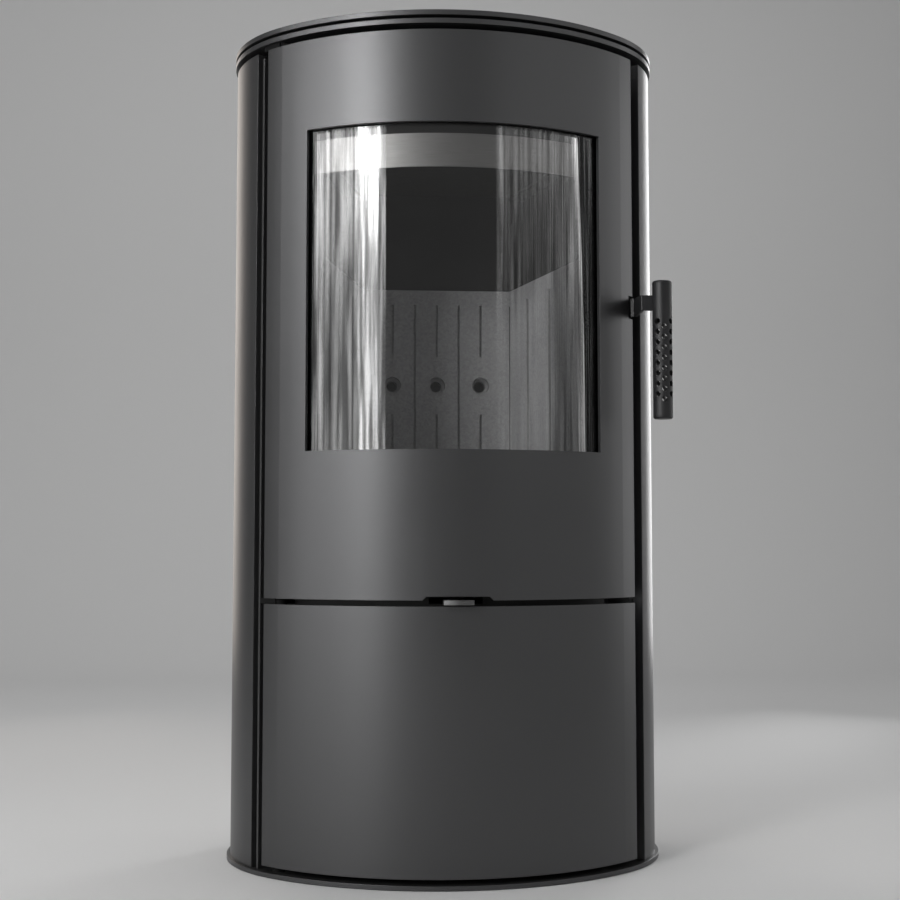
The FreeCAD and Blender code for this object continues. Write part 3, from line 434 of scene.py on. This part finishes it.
tape_depth = 0.00725
tape_edge_angle = 35.23
tape_low = 0.4569
tape_high = 0.8205
tape_corner = 0.004
tape_step = 0.004
tape_half_width = 0.0029
tape_half_depth = 0.0008
tape_squareness = 0.3
tape_radius = door_radius - tape_depth
tape_reach = math.radians(tape_edge_angle) * tape_radius


def tape_outline(turn, distance):
    """Flat section with rounded edges, the same at every distance."""
    across = math.copysign(abs(math.cos(turn)) ** tape_squareness, math.cos(turn))
    deep = math.copysign(abs(math.sin(turn)) ** tape_squareness, math.sin(turn))
    return tape_half_width * across, tape_half_depth * deep


tape_loop = rounded_loop(tape_reach, tape_low, tape_high, tape_corner, tape_step)
glass_tape = swept_seal("window_sealing_tape", tape_loop, tape_radius, tape_outline)
glass_tape.data.materials.append(seal_braid)
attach(glass_tape, "fire_door")
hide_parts("glass_gasket")

# Door handle: a perforated steel tube with pressed end caps on a flat bent arm, which turns the latch cam
# on its pivot in a bracket on the door. All of it is powder coated black and satin, so the hand's side
# carries a soft sheen.
handle_dark = (0.010, 0.010, 0.011, 1.0)
handle_pale = (0.020, 0.020, 0.021, 1.0)
handle_peel_scale = 900.0
handle_relief = 0.00002
handle_touch_scale = 35.0
handle_touch_detail = 3.0
handle_roughness = 0.36
handle_touch_roughness = 0.12
handle_shine_share = 0.35
handle_edge_radius = 0.0008
handle_look = Look("handle coating")
handle_place = handle_look.place()
handle_peel = handle_look.noise(handle_place, handle_peel_scale)
handle_touch = handle_look.noise(handle_place, handle_touch_scale, handle_touch_detail)
handle_paint = handle_look.surface({
    "Base Color": handle_look.blend(handle_touch, handle_dark, handle_pale),
    "Roughness": handle_roughness + handle_touch_roughness * handle_touch,
    "Specular IOR Level": handle_shine_share,
    "Normal": handle_look.bump(handle_peel, handle_relief, handle_edge_radius)})
paint_nodes(handle_paint, ["handle_grip", "grip_end_caps", "handle_arm", "latch_cam", "latch_bracket"])

# Hinges: two plates welded to the left post, the lugs of both doors and three turned pins between them.
# They are dipped in a dull black primer and coloured darker still as painted shade, so they disappear in
# the gap beside the doors.
# Painted shade: both colours are darker than the primer itself, so the hinges read as the shaded gap.
hinge_dark = (0.003, 0.003, 0.003, 1.0)
hinge_pale = (0.008, 0.008, 0.008, 1.0)
hinge_skin_scale = 500.0
hinge_skin_detail = 3.0
hinge_relief = 0.00005
hinge_roughness = 0.75
hinge_skin_roughness = 0.15
hinge_shine_share = 0.15
hinge_look = Look("hinge primer and painted shade")
hinge_skin = hinge_look.noise(hinge_look.place(), hinge_skin_scale, hinge_skin_detail)
hinge_primer_and_painted_shade = hinge_look.surface({
    "Base Color": hinge_look.blend(hinge_skin, hinge_dark, hinge_pale),
    "Roughness": hinge_roughness + hinge_skin_roughness * hinge_skin,
    "Specular IOR Level": hinge_shine_share,
    "Normal": hinge_look.bump(hinge_skin, hinge_relief)})
paint_nodes(hinge_primer_and_painted_shade, ["top_hinge_plate", "middle_hinge_plate", "door_hinge_lugs", "lower_door_lugs",
                           "upper_hinge_pin", "middle_hinge_pin", "lower_hinge_pin"])

# Air lever: a flat steel bar under the fire door with a small hole at its end, brushed along its length,
# with its left part coloured lighter as a painted highlight. It slides from side to side and moves the
# valve plate in the air box.
lever_dark = (0.14, 0.14, 0.14, 1.0)
lever_pale = (0.62, 0.62, 0.62, 1.0)
lever_metal_share = 1.0
lever_highlight_fade_start = -0.015
lever_highlight_fade_end = 0.003
lever_highlight_share = 0.8
lever_brush_scales = (60.0, 1500.0, 1500.0)
lever_brush_detail = 3.0
lever_brush_share = 0.2
lever_relief = 0.00002
lever_roughness = 0.24
lever_brush_roughness = 0.1
lever_edge_radius = 0.0006
lever_look = Look("air lever steel")
lever_place = lever_look.place()
lever_brush = lever_look.brush(lever_place, lever_brush_scales, lever_brush_detail)
lever_across = lever_look.coordinate(lever_place, "X")
# Painted highlight: the colour is lighter on the left part of the bar.
lever_painted_highlight = 1.0 - lever_across.between(lever_highlight_fade_start, lever_highlight_fade_end)
lever_tone = lever_painted_highlight * lever_highlight_share + lever_brush * lever_brush_share
lever_steel = lever_look.surface({
    "Base Color": lever_look.blend(lever_tone, lever_dark, lever_pale),
    "Metallic": lever_metal_share,
    "Roughness": lever_roughness + lever_brush_roughness * lever_brush,
    "Normal": lever_look.bump(lever_brush, lever_relief, lever_edge_radius)})
paint_nodes(lever_steel, ["air_lever"])

# Fastenings: the zinc plated screws of the rear panel and flue collar, the bolts of the top plates, the
# pivot pin of the handle, and the clips and studs that hold the glass.
zinc_dark = (0.36, 0.36, 0.37, 1.0)
zinc_pale = (0.55, 0.55, 0.56, 1.0)
zinc_metal_share = 1.0
zinc_bloom_scale = 180.0
zinc_bloom_detail = 4.0
zinc_relief = 0.00002
zinc_roughness = 0.28
zinc_bloom_roughness = 0.15
zinc_look = Look("zinc plate")
zinc_bloom = zinc_look.noise(zinc_look.place(), zinc_bloom_scale, zinc_bloom_detail)
bright_zinc = zinc_look.surface({
    "Base Color": zinc_look.blend(zinc_bloom, zinc_dark, zinc_pale),
    "Metallic": zinc_metal_share,
    "Roughness": zinc_roughness + zinc_bloom_roughness * zinc_bloom,
    "Normal": zinc_look.bump(zinc_bloom, zinc_relief)})
paint_nodes(bright_zinc, ["rear_panel_screws", "flue_collar_screws", "top_plate_bolts", "glass_clips",
                          "glass_clip_studs", "handle_pivot_pin"])

# Studio floor and backdrop: one wide sheet of matt pale grey paper that runs over the floor and curves up
# behind the stove.
paper_dark = (0.66, 0.66, 0.66, 1.0)
paper_pale = (0.69, 0.69, 0.69, 1.0)
paper_fibre_scale = 300.0
paper_fibre_detail = 3.0
paper_roughness = 0.9
paper_fibre_roughness = 0.05
paper_front = -12.0
paper_bend_start = 2.2
paper_bend_radius = 1.2
paper_bend_angle = 90.0
paper_bend_steps = 16
paper_high = 7.0
paper_half_width = 12.0
paper_drop = -0.0005
paper_profile = [(paper_front, paper_drop)]
for step in range(paper_bend_steps + 1):
    lift = math.radians(paper_bend_angle * step / paper_bend_steps)
    paper_profile.append((paper_bend_start + paper_bend_radius * math.sin(lift),
                          paper_drop + paper_bend_radius * (1.0 - math.cos(lift))))
paper_profile.append((paper_bend_start + paper_bend_radius, paper_high))
paper_verts = [(side * paper_half_width, y, z) for y, z in paper_profile for side in (-1, 1)]
paper_faces = [(2 * index, 2 * index + 1, 2 * index + 3, 2 * index + 2)
               for index in range(len(paper_profile) - 1)]
paper_mesh = bpy.data.meshes.new("studio paper")
paper_mesh.from_pydata(paper_verts, [], paper_faces)
paper_mesh.shade_smooth()
paper = bpy.data.objects.new("studio_paper", paper_mesh)
bpy.context.collection.objects.link(paper)
paper_look = Look("studio paper")
paper_fibre = paper_look.noise(paper_look.place(), paper_fibre_scale, paper_fibre_detail)
paper_mesh.materials.append(paper_look.surface({
    "Base Color": paper_look.blend(paper_fibre, paper_dark, paper_pale),
    "Roughness": paper_roughness + paper_fibre_roughness * paper_fibre}))

# Lights: a tall window with a rippled curtain to the left of the camera, a weaker one to the right, three
# upright strip lamps behind and beside the stove, a wide lamp over the floor behind it and a soft sky.
# The ripples of the curtains show as upright streaks in the glass.
fold_rise_scale = 2.6
fold_detail = 3.0
fold_shares = (0.36, 0.64)
fold_dim_share = 0.3
fold_gain = 1.6
curtain_middle_share = 0.5
curtain_fade_share = 0.03
band_end_share = 0.01
band_low_share = 0.3
bar_dim_share = 0.25
glow_rise_low = 0.87
glow_rise_high = 1.37


def curtain(name, centre, width, height, side_glow, band_glow, fold_scale, sharpness, band_shares,
            bar_shares):
    """Upright glowing sheet that faces the stove, brighter in one band and at the top, with dark bars.

    The band and the bars are shares of the width."""
    sheet_mesh = bpy.data.meshes.new(name)
    half = width / 2
    sheet_verts = [(-half, 0, 0), (half, 0, 0), (half, 0, height), (-half, 0, height)]
    sheet_mesh.from_pydata(sheet_verts, [], [(0, 1, 2, 3)])
    sheet = bpy.data.objects.new(name, sheet_mesh)
    bpy.context.collection.objects.link(sheet)
    sheet.location = centre
    sheet.rotation_euler = (0, 0, math.atan2(centre[0], -centre[1]))
    look = Look(name)
    place = look.place()
    across = look.coordinate(place, "X") * (1 / width) + curtain_middle_share
    rise = look.coordinate(place, "Z") + centre[2]
    folds = look.brush(place, (fold_scale, fold_scale, fold_rise_scale), fold_detail).between(*fold_shares)
    streaks = fold_dim_share + fold_gain * folds ** sharpness
    for bar in bar_shares:
        right_of_bar = across.between(bar, bar + curtain_fade_share)
        off_bar = right_of_bar + 1.0 - across.between(bar - curtain_fade_share, bar)
        streaks = streaks * (bar_dim_share + (1.0 - bar_dim_share) * off_bar)
    low, high = band_shares
    past_low = across.between(low - curtain_fade_share, low + curtain_fade_share)
    in_band = past_low * (1.0 - across.between(high - band_end_share, high + band_end_share))
    upper = rise.between(glow_rise_low, glow_rise_high)
    glow = streaks * (side_glow * (1.0 + upper) + in_band * (band_glow * (band_low_share + upper)))
    colour = look.node("ShaderNodeCombineColor", {}, {0: glow, 1: glow, 2: glow})
    emission = look.node("ShaderNodeEmission", {}, {"Color": colour, "Strength": 1.0})
    look.node("ShaderNodeOutputMaterial", {}, {"Surface": emission})
    sheet_mesh.materials.append(look.material)
    sheet.visible_camera = False


left_centre = (-1.729, -1.351, 0.14)
left_width = 1.85
left_height = 1.61
left_side_glow = 2.4
left_band_glow = 11.5
left_fold_scale = 15.0
left_sharpness = 1.6
left_band_shares = (0.675, 0.925)
left_bar_shares = (0.405, 0.655)
curtain("left_curtain", left_centre, left_width, left_height, left_side_glow, left_band_glow,
        left_fold_scale, left_sharpness, left_band_shares, left_bar_shares)
right_centre = (1.936, -1.093, 0.02)
right_width = 3.4
right_height = 2.0
right_side_glow = 0.5
right_band_glow = 0.6
right_fold_scale = 34.0
right_sharpness = 2.5
right_band_shares = (0.02, 0.06)
right_bar_shares = ()
curtain("right_curtain", right_centre, right_width, right_height, right_side_glow, right_band_glow,
        right_fold_scale, right_sharpness, right_band_shares, right_bar_shares)

stove_middle = (0.0, 0.0, 0.5)
floor_behind = (0.0, 1.2, 0.0)
white_light = (1.0, 1.0, 1.0)
warm_light = (1.0, 0.90, 0.82)
lamp_table = (
    ("right rear strip", (1.0, 1.35, 0.85), stove_middle, (0.4, 1.5), 1.7, 60.0, white_light),
    ("left rear strip", (-0.85, 1.45, 0.85), stove_middle, (0.7, 1.5), 0.9, 60.0, warm_light),
    ("right side strip", (1.9, 0.3, 0.8), stove_middle, (0.5, 1.4), 1.5, 100.0, white_light),
    ("overhead", (0.0, 1.2, 3.0), floor_behind, (3.2, 2.0), 24.0, 180.0, white_light))
for lamp_name, lamp_place, lamp_target, (lamp_width, lamp_height), watts, spread, colour in lamp_table:
    lamp = bpy.data.lights.new(lamp_name, "AREA")
    lamp.shape = "RECTANGLE"
    lamp.size = lamp_width
    lamp.size_y = lamp_height
    lamp.energy = watts
    lamp.spread = math.radians(spread)
    lamp.color = colour
    holder = bpy.data.objects.new(lamp_name, lamp)
    holder.location = lamp_place
    lamp_direction = Vector(lamp_target) - Vector(lamp_place)
    holder.rotation_euler = lamp_direction.to_track_quat("-Z", "Y").to_euler()
    holder.visible_camera = False
    bpy.context.collection.objects.link(holder)

sky_colour = (1.0, 1.0, 1.0, 1.0)
sky_strength = 0.23
world = bpy.data.worlds.new("studio sky")
bpy.context.scene.world = world
world.use_nodes = True
sky = world.node_tree.nodes["Background"]
sky.inputs["Color"].default_value = sky_colour
sky.inputs["Strength"].default_value = sky_strength

# Camera: low in front of the stove and a little to its left, looking slightly up. Its place and lens were
# fitted to the plate edges in the photograph.
camera_sensor_width = 36.0
camera_lens = 60.16
camera_shift_share = -0.0142
camera_place = (-0.1416, -1.7888, 0.3628)
camera_tilt = 93.97
camera_turn = -4.77
camera_data = bpy.data.cameras.new("camera")
camera_data.sensor_width = camera_sensor_width
camera_data.lens = camera_lens
camera_data.shift_y = camera_shift_share
camera = bpy.data.objects.new("camera", camera_data)
camera.location = camera_place
camera.rotation_euler = (math.radians(camera_tilt), 0.0, math.radians(camera_turn))
bpy.context.collection.objects.link(camera)
bpy.context.scene.camera = camera
bpy.context.scene.view_settings.view_transform = "Standard"
